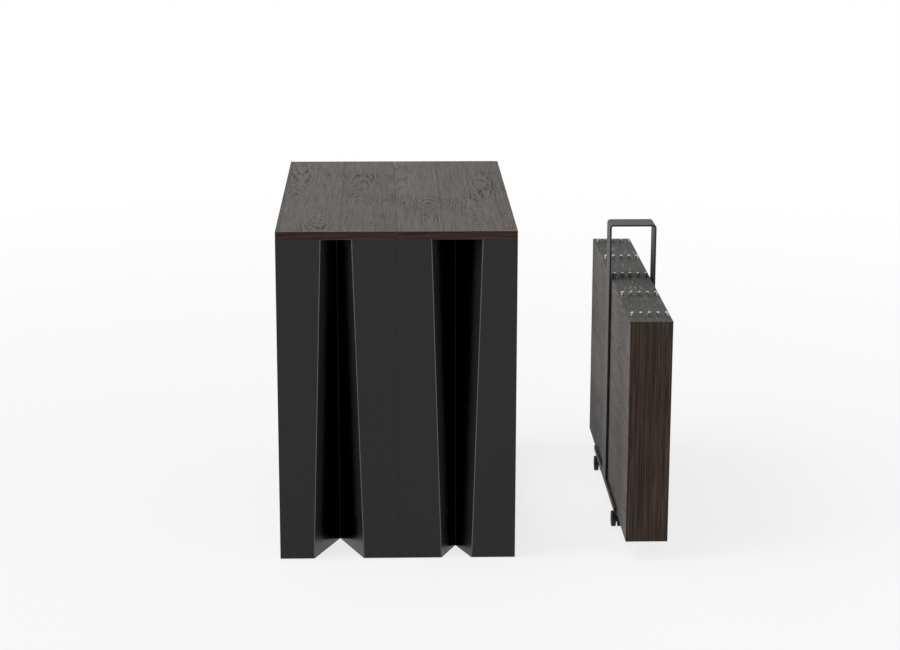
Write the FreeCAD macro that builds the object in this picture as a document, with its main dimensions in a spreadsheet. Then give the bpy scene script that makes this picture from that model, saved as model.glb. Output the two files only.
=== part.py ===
import FreeCAD, Part
import Sketcher
import math
import os

# Extending console table with pleated steel legs, and the rolling carrier that stores its five
# leaves.  Millimetres.  X runs along the extension, Y from front to back, Z up from the floor.
# The origin lies on the floor under the middle of the closed table; the seam is the plane x = 0.
# The right half stays put, the left half draws out towards -X, the carrier stands on the +X side.

LEAF_COUNT = 5
PIN_COUNT = 5
STAGE_COUNT = 6
RAIL_COUNT = STAGE_COUNT + 2

SIZES = {
    # closed table
    "table_length": 540.0,
    "table_depth": 900.0,
    "table_height": 770.0,
    "board_thickness": 19.0,
    "edge_chamfer": 0.8,
    "seam_gap": 0.4,
    "seam_lap": 2.0,
    # loose leaves and the locating pins that every joint edge shares
    "leaf_length": 520.0,
    "leaf_spacing": 0.3,
    "leaf_chamfer": 0.2,
    "pin_diameter": 8.0,
    "pin_proud": 10.0,
    "pin_margin": 50.0,
    "pin_clearance": 0.1,
    "socket_depth": 12.0,
    # pleated sheet legs
    "sheet_thickness": 2.0,
    "bend_radius": 1.0,
    "pleat_narrow": 68.0,
    "pleat_wide": 113.0,
    "pleat_angle": 45.0,
    "pleat_corner": 148.0,
    # angle brackets and floor glides
    "bracket_leg": 36.0,
    "bracket_width": 50.0,
    "bracket_thickness": 3.0,
    "bracket_inset": 40.0,
    "bracket_corner": 46.0,
    "glide_lift": 2.0,
    "glide_diameter": 24.0,
    "glide_thickness": 5.0,
    "glide_setback": 21.0,
    # telescopic runner
    "rail_end_gap": 3.0,
    "rail_width": 18.0,
    "rail_height": 34.0,
    "rail_gap": 0.4,
    "rail_inset": 66.0,
    "rail_drop": 3.0,
    "rail_lip": 3.5,
    "slot_depth": 8.5,
    "slot_clearance": 0.4,
    "tongue_neck": 6.0,
    "tongue_head": 16.0,
    "tie_width": 30.0,
    "tie_thickness": 4.0,
    "tie_clearance": 2.0,
    "tie_margin": 140.0,
    "tie_gap": 14.0,
    # swinging hooks that lock the closed seam
    "latch_inset": 120.0,
    "latch_offset": 22.0,
    "latch_width": 20.0,
    "latch_thickness": 3.0,
    "latch_nose": 12.0,
    "latch_corner": 4.0,
    "latch_flare": 2.6,
    "latch_draft": 0.8,
    "latch_seat": 4.0,
    "latch_gap": 2.0,
    "latch_play": 0.1,
    "keeper_diameter": 6.0,
    "pivot_head": 12.0,
    "pivot_head_height": 2.0,
    "pivot_clearance": 0.1,
    # leaf carrier
    "carrier_gap": 246.0,
    "carrier_shift": 29.0,
    "stack_clearance": 7.8,
    "stack_lean": 0.3,
    "band_width": 72.0,
    "band_thickness": 4.0,
    "band_height": 703.0,
    "band_bend": 4.0,
    "tray_overhang": 23.0,
    "tray_thickness": 4.0,
    "tray_height": 47.0,
    "tray_lip": 14.0,
    "tray_bend": 2.0,
    # twin wheel casters
    "caster_spacing": 454.0,
    "caster_inset": 11.0,
    "caster_trail": 10.0,
    "caster_gap": 0.5,
    "wheel_diameter": 35.0,
    "wheel_width": 10.0,
    "wheel_clearance": 0.4,
    "wheel_bore_clearance": 0.1,
    "web_thickness": 4.0,
    "hub_radius": 6.0,
    "axle_diameter": 4.0,
    "axle_clearance": 0.04,
    "hood_clearance": 1.0,
    "hood_thickness": 2.0,
    "boss_diameter": 14.0,
    "stem_diameter": 8.0,
    "stem_engagement": 7.5,
    "stem_recess": 0.5,
}


class Size:
    """A length or angle that keeps its spreadsheet expression beside its value."""

    def __init__(self, text, value):
        self.text = text
        self.value = value

    def joined(self, sign, other, value):
        return Size("(%s %s %s)" % (self.text, sign, other.text), value)

    def __add__(self, other):
        other = sized(other)
        return self.joined("+", other, self.value + other.value)

    def __sub__(self, other):
        other = sized(other)
        return self.joined("-", other, self.value - other.value)

    def __mul__(self, other):
        other = sized(other)
        return self.joined("*", other, self.value * other.value)

    def __truediv__(self, other):
        other = sized(other)
        return self.joined("/", other, self.value / other.value)

    def __neg__(self):
        return Size("(0 - %s)" % self.text, -self.value)

    def __radd__(self, other):
        return sized(other) + self

    def __rsub__(self, other):
        return sized(other) - self

    def __rmul__(self, other):
        return sized(other) * self


def sized(value):
    """Wrap a plain number as a Size; a Size passes through."""
    if isinstance(value, Size):
        return value
    return Size("%.9g" % value, float(value))


doc = FreeCAD.newDocument("console_table")
sheet = doc.addObject("Spreadsheet::Sheet", "Sizes")


class S:
    """The driving sizes, one attribute per spreadsheet alias."""


for row, (alias, number) in enumerate(SIZES.items(), start=1):
    sheet.set("A%d" % row, alias)
    sheet.set("B%d" % row, "%g" % number)
    sheet.setAlias("B%d" % row, alias)
    setattr(S, alias, Size("Sizes.%s" % alias, number))
doc.recompute()

X_AXIS = FreeCAD.Vector(1, 0, 0)
Y_AXIS = FreeCAD.Vector(0, 1, 0)
Z_AXIS = FreeCAD.Vector(0, 0, 1)
UPRIGHT = FreeCAD.Rotation()
parts = []


def turned(axis, degrees):
    return FreeCAD.Rotation(axis, degrees)


def bind(item, name, size):
    item.setExpression(name, sized(size).text)


def place(item, x, y, z, rotation=UPRIGHT):
    """Stand an object at a point bound to the driving sizes."""
    item.Placement = FreeCAD.Placement(FreeCAD.Vector(), rotation)
    for axis, size in zip("xyz", (x, y, z)):
        bind(item, "Placement.Base.%s" % axis, size)
    return item


def keep(item, label):
    """Name an object as a finished sub-part."""
    item.Label = label
    parts.append(item)
    return item


def copy_of(master, x, y, z, rotation=UPRIGHT):
    link = doc.addObject("App::Link", master.Name + "_copy")
    link.LinkedObject = master
    return place(link, x, y, z, rotation)


def gather(label, members):
    """Hold identical pieces, or the two sides of one stage, as one sub-part."""
    group = doc.addObject("Part::Compound", label + "_group")
    group.Links = members
    return keep(group, label)


def new_body(name):
    return doc.addObject("PartDesign::Body", name + "_body")


def attach(body, sketch, plane, lift):
    for datum in body.Origin.OriginFeatures:
        if datum.Role == plane:
            sketch.AttachmentSupport = [(datum, "")]
    sketch.MapMode = "FlatFace"
    if lift is not None:
        bind(sketch, "AttachmentOffset.Base.z", lift)


def pin_point(sketch, geometry, position, x, y):
    """Fix one sketch point by its two distances from the sketch origin."""
    for kind, size in (("DistanceX", x), ("DistanceY", y)):
        size = sized(size)
        rule = Sketcher.Constraint(kind, -1, 1, geometry, position, size.value)
        index = sketch.addConstraint(rule)
        bind(sketch, "Constraints[%d]" % index, size)


def polygon(body, plane, corners, lift=None):
    """A closed outline with every corner bound to the driving sizes."""
    sketch = body.newObject("Sketcher::SketchObject", "Outline")
    attach(body, sketch, plane, lift)
    spots = [FreeCAD.Vector(sized(x).value, sized(y).value, 0) for x, y in corners]
    count = len(spots)
    for index in range(count):
        sketch.addGeometry(Part.LineSegment(spots[index], spots[(index + 1) % count]), False)
    for index in range(count):
        sketch.addConstraint(Sketcher.Constraint("Coincident", index, 2, (index + 1) % count, 1))
    for index, (x, y) in enumerate(corners):
        pin_point(sketch, index, 1, x, y)
    return sketch


def rectangle(x0, y0, x1, y1):
    return [(x0, y0), (x1, y0), (x1, y1), (x0, y1)]


def circles(body, plane, diameter, centres, lift=None):
    """Equal circles with bound centres and diameter."""
    sketch = body.newObject("Sketcher::SketchObject", "Circles")
    attach(body, sketch, plane, lift)
    diameter = sized(diameter)
    for index, (x, y) in enumerate(centres):
        middle = FreeCAD.Vector(sized(x).value, sized(y).value, 0)
        sketch.addGeometry(Part.Circle(middle, FreeCAD.Vector(0, 0, 1), diameter.value / 2), False)
        pin_point(sketch, index, 3, x, y)
        rule = sketch.addConstraint(Sketcher.Constraint("Diameter", index, diameter.value))
        bind(sketch, "Constraints[%d]" % rule, diameter)
    return sketch


def pad(body, sketch, length, symmetric=False):
    feature = body.newObject("PartDesign::Pad", "Pad")
    feature.Profile = sketch
    bind(feature, "Length", length)
    if symmetric:
        feature.SideType = "Symmetric"
    doc.recompute()
    return feature


def pocket(body, sketch, depth=None, flipped=False):
    """Sink a sketch to a depth, or right through where no depth is given."""
    feature = body.newObject("PartDesign::Pocket", "Pocket")
    feature.Profile = sketch
    feature.Reversed = flipped
    if depth is None:
        feature.Type = "ThroughAll"
    else:
        bind(feature, "Length", depth)
    return feature


def revolve(body, sketch):
    feature = body.newObject("PartDesign::Revolution", "Turned")
    feature.Profile = sketch
    feature.ReferenceAxis = (sketch, ["V_Axis"])
    feature.Angle = 360
    return feature


def chosen_edges(base, wanted):
    names = []
    for index, edge in enumerate(base.Shape.Edges, start=1):
        if wanted(edge):
            names.append("Edge%d" % index)
    return base, names


def fillet(body, base, radius, wanted):
    """Round the edges of the last feature that the test accepts."""
    feature = body.newObject("PartDesign::Fillet", "Rounding")
    feature.Base = chosen_edges(base, wanted)
    bind(feature, "Radius", radius)
    doc.recompute()
    return feature


def chamfer(body, base, size, wanted):
    """Bevel the edges of the last feature that the test accepts."""
    feature = body.newObject("PartDesign::Chamfer", "Bevel")
    feature.Base = chosen_edges(base, wanted)
    bind(feature, "Size", size)
    return feature


def runs_along(edge, axis):
    ends = edge.Vertexes
    step = ends[1].Point.sub(ends[0].Point)
    return abs(abs(step.dot(axis)) - step.Length) < 1e-6


def pattern_row(body, features, direction, length, count):
    row = body.newObject("PartDesign::LinearPattern", "Row")
    row.Originals = features
    row.Direction = direction
    bind(row, "Length", length)
    row.Occurrences = count
    body.Tip = row
    return row


def cylinder(radius, height, x, y, z, rotation=UPRIGHT, sector=360):
    item = doc.addObject("Part::Cylinder", "Round")
    bind(item, "Radius", radius)
    bind(item, "Height", height)
    item.Angle = sector
    return place(item, x, y, z, rotation)


def fused(members):
    item = doc.addObject("Part::MultiFuse", "Joined")
    item.Shapes = members
    return item


def cut(base, tool):
    item = doc.addObject("Part::Cut", "Relieved")
    item.Base = base
    item.Tool = tool
    return item


# Levels and positions that several pieces share
half_depth = S.table_depth / 2
half_length = S.table_length / 2
board_under = S.table_height - S.board_thickness
board_length = half_length - S.seam_gap / 2
pin_run = S.table_depth - 2 * S.pin_margin
socket_diameter = S.pin_diameter + S.pin_clearance
HALF_TURN = turned(Z_AXIS, 180)
TO_LEFT = turned(Y_AXIS, -90)


def pin_offset(index):
    """Distance of one locating pin from the front end of its board."""
    return S.pin_margin + index * pin_run / (PIN_COUNT - 1)


# Table boards
def table_board(label):
    """One half of the top, drawn from its seam edge, with its other edges eased."""
    body = new_body(label)
    board = pad(body, polygon(body, "XY_Plane", rectangle(0, 0, board_length, S.table_depth)),
                S.board_thickness)
    off_seam = lambda edge: max(vertex.X for vertex in edge.Vertexes) > 1e-6
    chamfer(body, board, S.edge_chamfer, off_seam)
    return keep(body, label)


place(table_board("right_top"), S.seam_gap / 2, -half_depth, board_under)
left_top = place(table_board("left_top"), -S.seam_gap / 2, half_depth, board_under, HALF_TURN)
seam_bore = circles(left_top, "YZ_Plane", socket_diameter, [(S.pin_margin, S.board_thickness / 2)])
seam_socket = pocket(left_top, seam_bore, S.socket_depth, flipped=True)
pattern_row(left_top, [seam_socket], (seam_bore, ["H_Axis"]), pin_run, PIN_COUNT)

# Locating pin: turned steel, standing on one joint edge and entering the socket of the next
pin = new_body("pin")
revolve(pin, polygon(pin, "XZ_Plane", rectangle(0, 0, S.pin_diameter / 2, S.pin_proud)))
seam_row = []
for index in range(PIN_COUNT):
    seam_row.append(copy_of(pin, S.seam_gap / 2, pin_offset(index) - half_depth,
                            S.table_height - S.board_thickness / 2, TO_LEFT))
gather("seam_pins", seam_row)

# Pleated legs: each face is one sheet folded into tapering V pleats.  A pleat keeps the same
# fold angle from floor to top, so its walls stay flat while its mouth grows and its root deepens.
panel_height = board_under - S.glide_lift


def read(alias):
    return float(sheet.get(alias))


def fold_line(width, pleats, laps):
    """Plan outline of a folded sheet: outer skin from left to right, inner skin back again.

    The laps shift the inner skin's two ends, which bevels those edges of the sheet.
    """
    sheet_gauge = read("sheet_thickness")
    half_fold = math.radians(read("pleat_angle") / 2)
    shift = sheet_gauge * math.tan((math.pi / 2 - half_fold) / 2)
    outer = [(0, 0)]
    inner = [(laps[0], sheet_gauge)]
    for middle, mouth in pleats:
        root = mouth / 2 / math.tan(half_fold)
        outer += [(middle - mouth / 2, 0), (middle, root), (middle + mouth / 2, 0)]
        inner += [(middle - mouth / 2 - shift, sheet_gauge),
                  (middle, root + sheet_gauge / math.sin(half_fold)),
                  (middle + mouth / 2 + shift, sheet_gauge)]
    outer.append((width, 0))
    inner.append((width + laps[1], sheet_gauge))
    return outer, inner


def flat_face(points):
    return Part.Face(Part.makePolygon(points + points[:1]))


def round_creases(solid, radius, creases):
    """Bend radius along the fold edges whose end points are listed."""
    chosen = []
    for edge in solid.Edges:
        ends = [vertex.Point for vertex in edge.Vertexes]
        for low, high in creases:
            straight = ends[0].distanceToPoint(low) + ends[1].distanceToPoint(high)
            swapped = ends[1].distanceToPoint(low) + ends[0].distanceToPoint(high)
            if min(straight, swapped) < 1e-4:
                chosen.append(edge)
    return solid.makeFillet(radius, chosen).Solids[0]


def pleated_panel(label, width, middles, wide_above, laps=(0, 0)):
    """A folded sheet with one pleat at each middle, the wide mouth above or below."""
    narrow = read("pleat_narrow")
    wide = read("pleat_wide")
    rise = panel_height.value
    low_mouths = [narrow if flag else wide for flag in wide_above]
    high_mouths = [wide if flag else narrow for flag in wide_above]
    low_outer, low_inner = fold_line(width, list(zip(middles, low_mouths)), laps)
    high_outer, high_inner = fold_line(width, list(zip(middles, high_mouths)), laps)
    low = [FreeCAD.Vector(x, y, 0) for x, y in low_outer + low_inner[::-1]]
    high = [FreeCAD.Vector(x, y, rise) for x, y in high_outer + high_inner[::-1]]
    faces = [flat_face(low[::-1]), flat_face(high)]
    for index in range(len(low)):
        after = (index + 1) % len(low)
        faces.append(flat_face([low[index], low[after], high[after], high[index]]))
    solid = Part.Solid(Part.Shell(faces))
    skin = len(low_outer)
    outside = []
    inside = []
    for index in range(len(middles)):
        for step in range(3):
            front = 1 + 3 * index + step
            back = 2 * skin - 1 - front
            at_root = step == 1
            (inside if at_root else outside).append((low[front], high[front]))
            (outside if at_root else inside).append((low[back], high[back]))
    solid = round_creases(solid, read("bend_radius"), inside)
    solid = round_creases(solid, read("bend_radius") + read("sheet_thickness"), outside)
    panel = doc.addObject("Part::Feature", label + "_fold")
    panel.Shape = solid
    return keep(panel, label)


face_width = board_length.value
side_width = S.table_depth.value - 2 * read("sheet_thickness")
side_middles = [read("pleat_corner"), side_width / 2, side_width - read("pleat_corner")]
side_reach = half_depth - S.sheet_thickness

# The free edges at the seam are bevelled, so that the right sheet laps a little behind the left one
lap = read("seam_lap")
front_laps = {"right": (-lap, 0), "left": (0, -lap)}
rear_laps = {"right": (0, lap), "left": (lap, 0)}

for name, wide_front in (("right", True), ("left", False)):
    middle = [half_length.value / 2]
    front = pleated_panel(name + "_front_panel", face_width, middle, [wide_front], front_laps[name])
    rear = pleated_panel(name + "_rear_panel", face_width, middle, [wide_front], rear_laps[name])
    side_flags = [not wide_front, wide_front, not wide_front]
    side = pleated_panel(name + "_side_panel", side_width, side_middles, side_flags)
    if name == "right":
        place(front, S.seam_gap / 2, -half_depth, S.glide_lift)
        place(rear, half_length, half_depth, S.glide_lift, HALF_TURN)
        place(side, half_length, -side_reach, S.glide_lift, turned(Z_AXIS, 90))
    else:
        place(front, -half_length, -half_depth, S.glide_lift)
        place(rear, -S.seam_gap / 2, half_depth, S.glide_lift, HALF_TURN)
        place(side, -half_length, side_reach, S.glide_lift, turned(Z_AXIS, -90))

# Angle bracket: upright leg on the sheet, level leg under the board or over a glide
bracket = new_body("bracket")
bend = S.bracket_thickness
pad(bracket, polygon(bracket, "YZ_Plane", [
    (0, 0),
    (S.bracket_leg, 0),
    (S.bracket_leg, -bend),
    (bend, -bend),
    (bend, -S.bracket_leg),
    (0, -S.bracket_leg),
]), S.bracket_width, symmetric=True)

# Floor glide: turned nylon disc under the level leg of a bracket
glide = new_body("glide")
glide_radius = S.glide_diameter / 2
revolve(glide, polygon(glide, "XZ_Plane", rectangle(0, 0, glide_radius, S.glide_thickness)))

bracket_rows = half_depth - S.sheet_thickness
bracket_side = half_length - S.sheet_thickness
corner_y = half_depth - S.bracket_corner
FLIPPED = turned(Y_AXIS, 180)


def leg_stations(hand):
    """Where the four brackets of one leg stand, and which way each faces inwards."""
    facing = 90 if hand > 0 else -90
    return [
        (hand * S.bracket_inset, -bracket_rows, 0),
        (hand * S.bracket_inset, bracket_rows, 180),
        (hand * bracket_side, -corner_y, facing),
        (hand * bracket_side, corner_y, facing),
    ]


for name, hand in (("right", 1), ("left", -1)):
    brackets = []
    glides = []
    for x, y, facing in leg_stations(hand):
        spin = turned(Z_AXIS, facing)
        inward = spin.multVec(Y_AXIS)
        brackets.append(copy_of(bracket, x, y, board_under, spin))
        brackets.append(copy_of(bracket, x, y, S.glide_thickness, spin.multiply(FLIPPED)))
        glides.append(copy_of(glide, x + round(inward.x) * S.glide_setback,
                              y + round(inward.y) * S.glide_setback, 0))
    gather(name + "_brackets", brackets)
    gather(name + "_glides", glides)

# Telescopic runner: eight T-slot rails side by side in each of two banks.  The outermost rail
# belongs to the right half, the innermost to the left half; every tongue rides in the slot of the
# rail outside it.
rail_length = S.table_length - 2 * (S.sheet_thickness + S.rail_end_gap)
rail_pitch = S.rail_width + S.rail_gap
tie_row = rail_length - 2 * S.tie_margin
tie_pitch = (tie_row + S.tie_gap) / STAGE_COUNT
rail_middle = board_under - S.rail_drop - S.rail_height / 2


def rail_outer(index):
    """Distance of a rail's outer flank from the table's middle."""
    return S.rail_inset + S.rail_width + (RAIL_COUNT - 1 - index) * rail_pitch


def rail_profile(tongue, slot, crown):
    """Section of a rail from its outer flank inwards; the crown lifts an end rail to the board."""
    half = S.rail_height / 2
    neck = S.tongue_neck / 2
    head = S.tongue_head / 2
    slack = S.slot_clearance
    neck_reach = S.rail_lip + S.rail_gap + slack
    head_reach = S.slot_depth + S.rail_gap - slack
    width = S.rail_width
    lip = width - S.rail_lip
    floor = width - S.slot_depth
    outline = [(0, -half), (width, -half)]
    if slot:
        outline += [(width, -neck - slack), (lip, -neck - slack), (lip, -head - slack),
                    (floor, -head - slack), (floor, head + slack), (lip, head + slack),
                    (lip, neck + slack), (width, neck + slack)]
    outline += [(width, half + crown), (0, half + crown)]
    if tongue:
        outline += [(0, neck), (-neck_reach, neck), (-neck_reach, head), (-head_reach, head),
                    (-head_reach, -head), (-neck_reach, -head), (-neck_reach, -neck), (0, -neck)]
    return outline


def rail(index):
    """One extruded rail of the front bank."""
    last = RAIL_COUNT - 1
    body = new_body("rail_%d" % index)
    crown = S.rail_drop if index in (0, last) else sized(0)
    outline = rail_profile(index > 0, index < last, crown)
    pad(body, polygon(body, "YZ_Plane", outline), rail_length, symmetric=True)
    return place(body, 0, -rail_outer(index), rail_middle)


def rail_pair(label, index):
    front_rail = rail(index)
    rear_rail = copy_of(front_rail, 0, rail_outer(index), rail_middle, HALF_TURN)
    return gather(label, [front_rail, rear_rail])


rail_pair("right_end_rails", 0)
rail_pair("left_end_rails", RAIL_COUNT - 1)

for stage in range(1, STAGE_COUNT + 1):
    rail_pair("runner_stage_%d" % stage, stage)
    # cross tie that keeps the front and rear rail of the stage together, hung below the others:
    # its web is as wide as the gap to the next tie allows, and a foot at each end meets its rail
    tie = new_body("tie_%d" % stage)
    span = rail_outer(stage)
    foot = span - S.rail_width
    drop = -S.tie_clearance
    base = drop - S.tie_thickness
    web = polygon(tie, "YZ_Plane", rectangle(-span, base, span, drop))
    pad(tie, web, tie_pitch - S.tie_gap, symmetric=True)
    for near, far in ((-span, -foot), (foot, span)):
        pad(tie, polygon(tie, "YZ_Plane", rectangle(near, drop, far, 0)), S.tie_width, symmetric=True)
    place(tie, ((STAGE_COUNT + 1) / 2 - stage) * tie_pitch, 0, rail_middle - S.rail_height / 2)
    keep(tie, "runner_tie_%d" % stage)

# Seam hooks under the top: each swings on a headed pivot and wraps a keeper post
latch_line = half_depth - S.latch_inset
latch_reach = 2 * S.latch_offset
hook_level = board_under - S.latch_gap - S.latch_thickness


def hook(label, mirrored):
    """A flat arm drawn along +X from its pivot, with the mouth in its leading edge."""
    body = new_body(label)
    half = S.latch_width / 2
    heel = half * 0.45
    near = latch_reach - S.latch_seat
    far = latch_reach + S.latch_seat
    tip = latch_reach + S.latch_nose
    lead = -1 if mirrored else 1
    corners = [
        (-half, -heel), (-heel, -half), (tip - S.latch_corner, -half), (tip, S.latch_corner - half),
        (tip, half), (far + S.latch_draft, half), (far, -S.latch_seat), (near, -S.latch_seat),
        (near - S.latch_flare, half), (-heel, half), (-half, heel),
    ]
    corners = [(x, lead * y) for x, y in corners]
    pad(body, polygon(body, "XY_Plane", corners), S.latch_thickness)
    pocket(body, circles(body, "XY_Plane", S.keeper_diameter + S.pivot_clearance, [(0, 0)]),
           flipped=True)
    return keep(body, label)


place(hook("front_latch", True), S.latch_offset, -latch_line, hook_level, turned(Z_AXIS, -90))
place(hook("rear_latch", False), S.latch_offset, latch_line, hook_level, turned(Z_AXIS, 90))

journal = S.keeper_diameter / 2
flange = S.pivot_head / 2
stem_low = -S.latch_gap - S.latch_thickness - S.latch_play
pivot = new_body("pivot")
revolve(pivot, polygon(pivot, "XZ_Plane", [
    (0, 0),
    (journal, 0),
    (journal, stem_low),
    (flange, stem_low),
    (flange, stem_low - S.pivot_head_height),
    (0, stem_low - S.pivot_head_height),
]))
keeper = new_body("keeper")
revolve(keeper, polygon(keeper, "XZ_Plane", rectangle(0, stem_low - S.latch_play, journal, 0)))
gather("latch_pivots", [copy_of(pivot, S.latch_offset, side * latch_line, board_under)
                        for side in (-1, 1)])
gather("latch_keepers", [copy_of(keeper, -S.latch_offset, side * latch_line, board_under)
                         for side in (-1, 1)])

# Leaf carrier: lipped tray on casters with a bent band that holds the leaves upright
stack_width = LEAF_COUNT * S.board_thickness + (LEAF_COUNT - 1) * S.leaf_spacing
band_inside = stack_width + S.stack_clearance
band_outside = band_inside + 2 * S.band_thickness
carrier_x = half_length + S.carrier_gap + band_outside / 2
carrier_y = -S.carrier_shift
leaf_left = carrier_x - band_inside / 2 + S.tray_bend + S.stack_lean
leaf_top = S.tray_height + S.leaf_length

band = new_body("band")
reach = band_outside / 2
inner = band_inside / 2
foot_level = S.tray_height + S.tray_lip
rise = S.band_height - foot_level
crown = rise - S.band_thickness
strap = pad(band, polygon(band, "XZ_Plane", [
    (-reach, 0), (-inner, 0), (-inner, crown), (inner, crown),
    (inner, 0), (reach, 0), (reach, rise), (-reach, rise),
]), S.band_width, symmetric=True)
top_corner = lambda edge: runs_along(edge, Y_AXIS) and abs(edge.Vertexes[0].Z - rise.value) < 1e-6
outer_bend = fillet(band, strap, S.band_bend + S.band_thickness, top_corner)
inside_corner = lambda edge: (runs_along(edge, Y_AXIS) and len(edge.Vertexes) == 2
                              and abs(edge.Vertexes[0].Z - crown.value) < 1e-6
                              and abs(abs(edge.Vertexes[0].X) - inner.value) < 1e-6)
fillet(band, outer_bend, S.band_bend, inside_corner)
place(band, carrier_x, carrier_y, foot_level)
keep(band, "carrier_band")

caster_x = band_outside / 2 - S.caster_inset
swivel_y = S.caster_spacing / 2 - S.caster_trail
swivels = [(-1, -1), (1, -1), (-1, 1), (1, 1)]
stem_bore = S.stem_diameter + S.pin_clearance

tray = new_body("tray")
gauge = S.tray_thickness
lip_top = gauge + S.tray_lip
channel = pad(tray, polygon(tray, "XZ_Plane", [
    (-reach, 0), (reach, 0), (reach, lip_top), (reach - gauge, lip_top),
    (reach - gauge, gauge), (gauge - reach, gauge), (gauge - reach, lip_top), (-reach, lip_top),
]), S.caster_spacing + 2 * S.tray_overhang, symmetric=True)
at_level = lambda edge, level: (runs_along(edge, Y_AXIS)
                                and abs(edge.Vertexes[0].Z - level.value) < 1e-6)
inner_fold = fillet(tray, channel, S.tray_bend, lambda edge: at_level(edge, gauge))
fillet(tray, inner_fold, S.tray_bend + gauge, lambda edge: at_level(edge, sized(0)))
pocket(tray, circles(tray, "XY_Plane", stem_bore,
                     [(side * caster_x, end * swivel_y) for side, end in swivels]),
       gauge, flipped=True)
place(tray, carrier_x, carrier_y, S.tray_height - gauge)
keep(tray, "carrier_tray")

for number in range(1, LEAF_COUNT + 1):
    label = "leaf_%d" % number
    left = leaf_left + (number - 1) * (S.board_thickness + S.leaf_spacing)
    leaf = new_body(label)
    board = pad(leaf, polygon(leaf, "XY_Plane",
                              rectangle(0, 0, S.board_thickness, S.table_depth)), S.leaf_length)
    chamfer(leaf, board, S.leaf_chamfer, lambda edge: True)
    bore = circles(leaf, "XY_Plane", socket_diameter, [(S.board_thickness / 2, S.pin_margin)])
    socket = pocket(leaf, bore, S.socket_depth, flipped=True)
    pattern_row(leaf, [socket], (bore, ["V_Axis"]), pin_run, PIN_COUNT)
    place(leaf, left, carrier_y - half_depth, S.tray_height)
    keep(leaf, label)
    gather(label + "_pins", [
        copy_of(pin, left + S.board_thickness / 2, carrier_y - half_depth + pin_offset(index),
                leaf_top) for index in range(PIN_COUNT)])

# Twin wheel casters, drawn about the swivel axis with the wheels trailing towards +Y
wheel_radius = S.wheel_diameter / 2
hood_inside = wheel_radius + S.hood_clearance
hood_outside = hood_inside + S.hood_thickness
caster_width = S.web_thickness + 2 * (S.wheel_clearance + S.wheel_width)
boss_top = S.tray_height - S.tray_thickness - S.caster_gap
stem_foot = boss_top - S.stem_engagement
axle_bore = S.axle_diameter + S.axle_clearance
ACROSS = turned(Y_AXIS, 90)
ARCH = ACROSS.multiply(turned(Z_AXIS, 90))


def across(radius, width, rotation=ACROSS, sector=360):
    """A round bar or half bar on the wheel axis, centred between the wheels."""
    return cylinder(radius, width, -width / 2, S.caster_trail, wheel_radius, rotation, sector)


hood = fused([across(hood_outside, caster_width, ARCH, 180),
              cylinder(S.boss_diameter / 2, boss_top - wheel_radius, 0, 0, wheel_radius)])
shell = cut(hood, across(hood_inside, caster_width * 2))
web = [across(hood_inside + S.hood_thickness / 2, S.web_thickness, ARCH, 180),
       across(S.hub_radius, S.web_thickness)]
frame = cut(fused([shell] + web), across(axle_bore / 2, caster_width))
housing = cut(frame, cylinder(stem_bore / 2, S.stem_engagement + S.caster_gap, 0, 0, stem_foot))

axle = across(S.axle_diameter / 2, caster_width)

wheel = new_body("wheel")
hub = S.axle_diameter / 2 + S.wheel_bore_clearance / 2
revolve(wheel, polygon(wheel, "XZ_Plane", rectangle(hub, 0, wheel_radius, S.wheel_width)))
wheel_start = S.web_thickness / 2 + S.wheel_clearance

stem = new_body("stem")
stem_radius = S.stem_diameter / 2
stem_head = S.tray_height - S.stem_recess
revolve(stem, polygon(stem, "XZ_Plane", rectangle(0, stem_foot, stem_radius, stem_head)))

stems = []
names = ["front_left", "front_right", "rear_left", "rear_right"]
for name, (side, end) in zip(names, swivels):
    at_x = carrier_x + side * caster_x
    at_y = carrier_y + end * swivel_y
    stems.append(copy_of(stem, at_x, at_y, 0))
    gather(name + "_caster_housing", [copy_of(housing, at_x, at_y, 0)])
    gather(name + "_caster_axle", [copy_of(axle, at_x - caster_width / 2, at_y + S.caster_trail,
                                           wheel_radius, ACROSS)])
    wheels = []
    for hand in (-1, 1):
        wheels.append(copy_of(wheel, at_x + hand * wheel_start, at_y + S.caster_trail, wheel_radius,
                              turned(Y_AXIS, hand * 90)))
    gather(name + "_caster_wheels", wheels)
gather("caster_stems", stems)

doc.recompute()
for item in doc.Objects:
    if "Invalid" in item.State or "Error" in item.State:
        raise RuntimeError("%s did not build: %s" % (item.Name, item.State))
os.makedirs("parts", exist_ok=True)
for item in parts:
    shape = item.Shape
    if shape.isNull() or not shape.isValid():
        raise RuntimeError("%s has no valid shape" % item.Label)
    shape.exportStep("parts/%s.step" % item.Label)
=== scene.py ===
import logging
import math
from collections.abc import Callable
from dataclasses import dataclass
from enum import Enum
from functools import reduce
from typing import Any

import bpy
import numpy as np
from mathutils import Euler, Matrix, Vector


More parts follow.
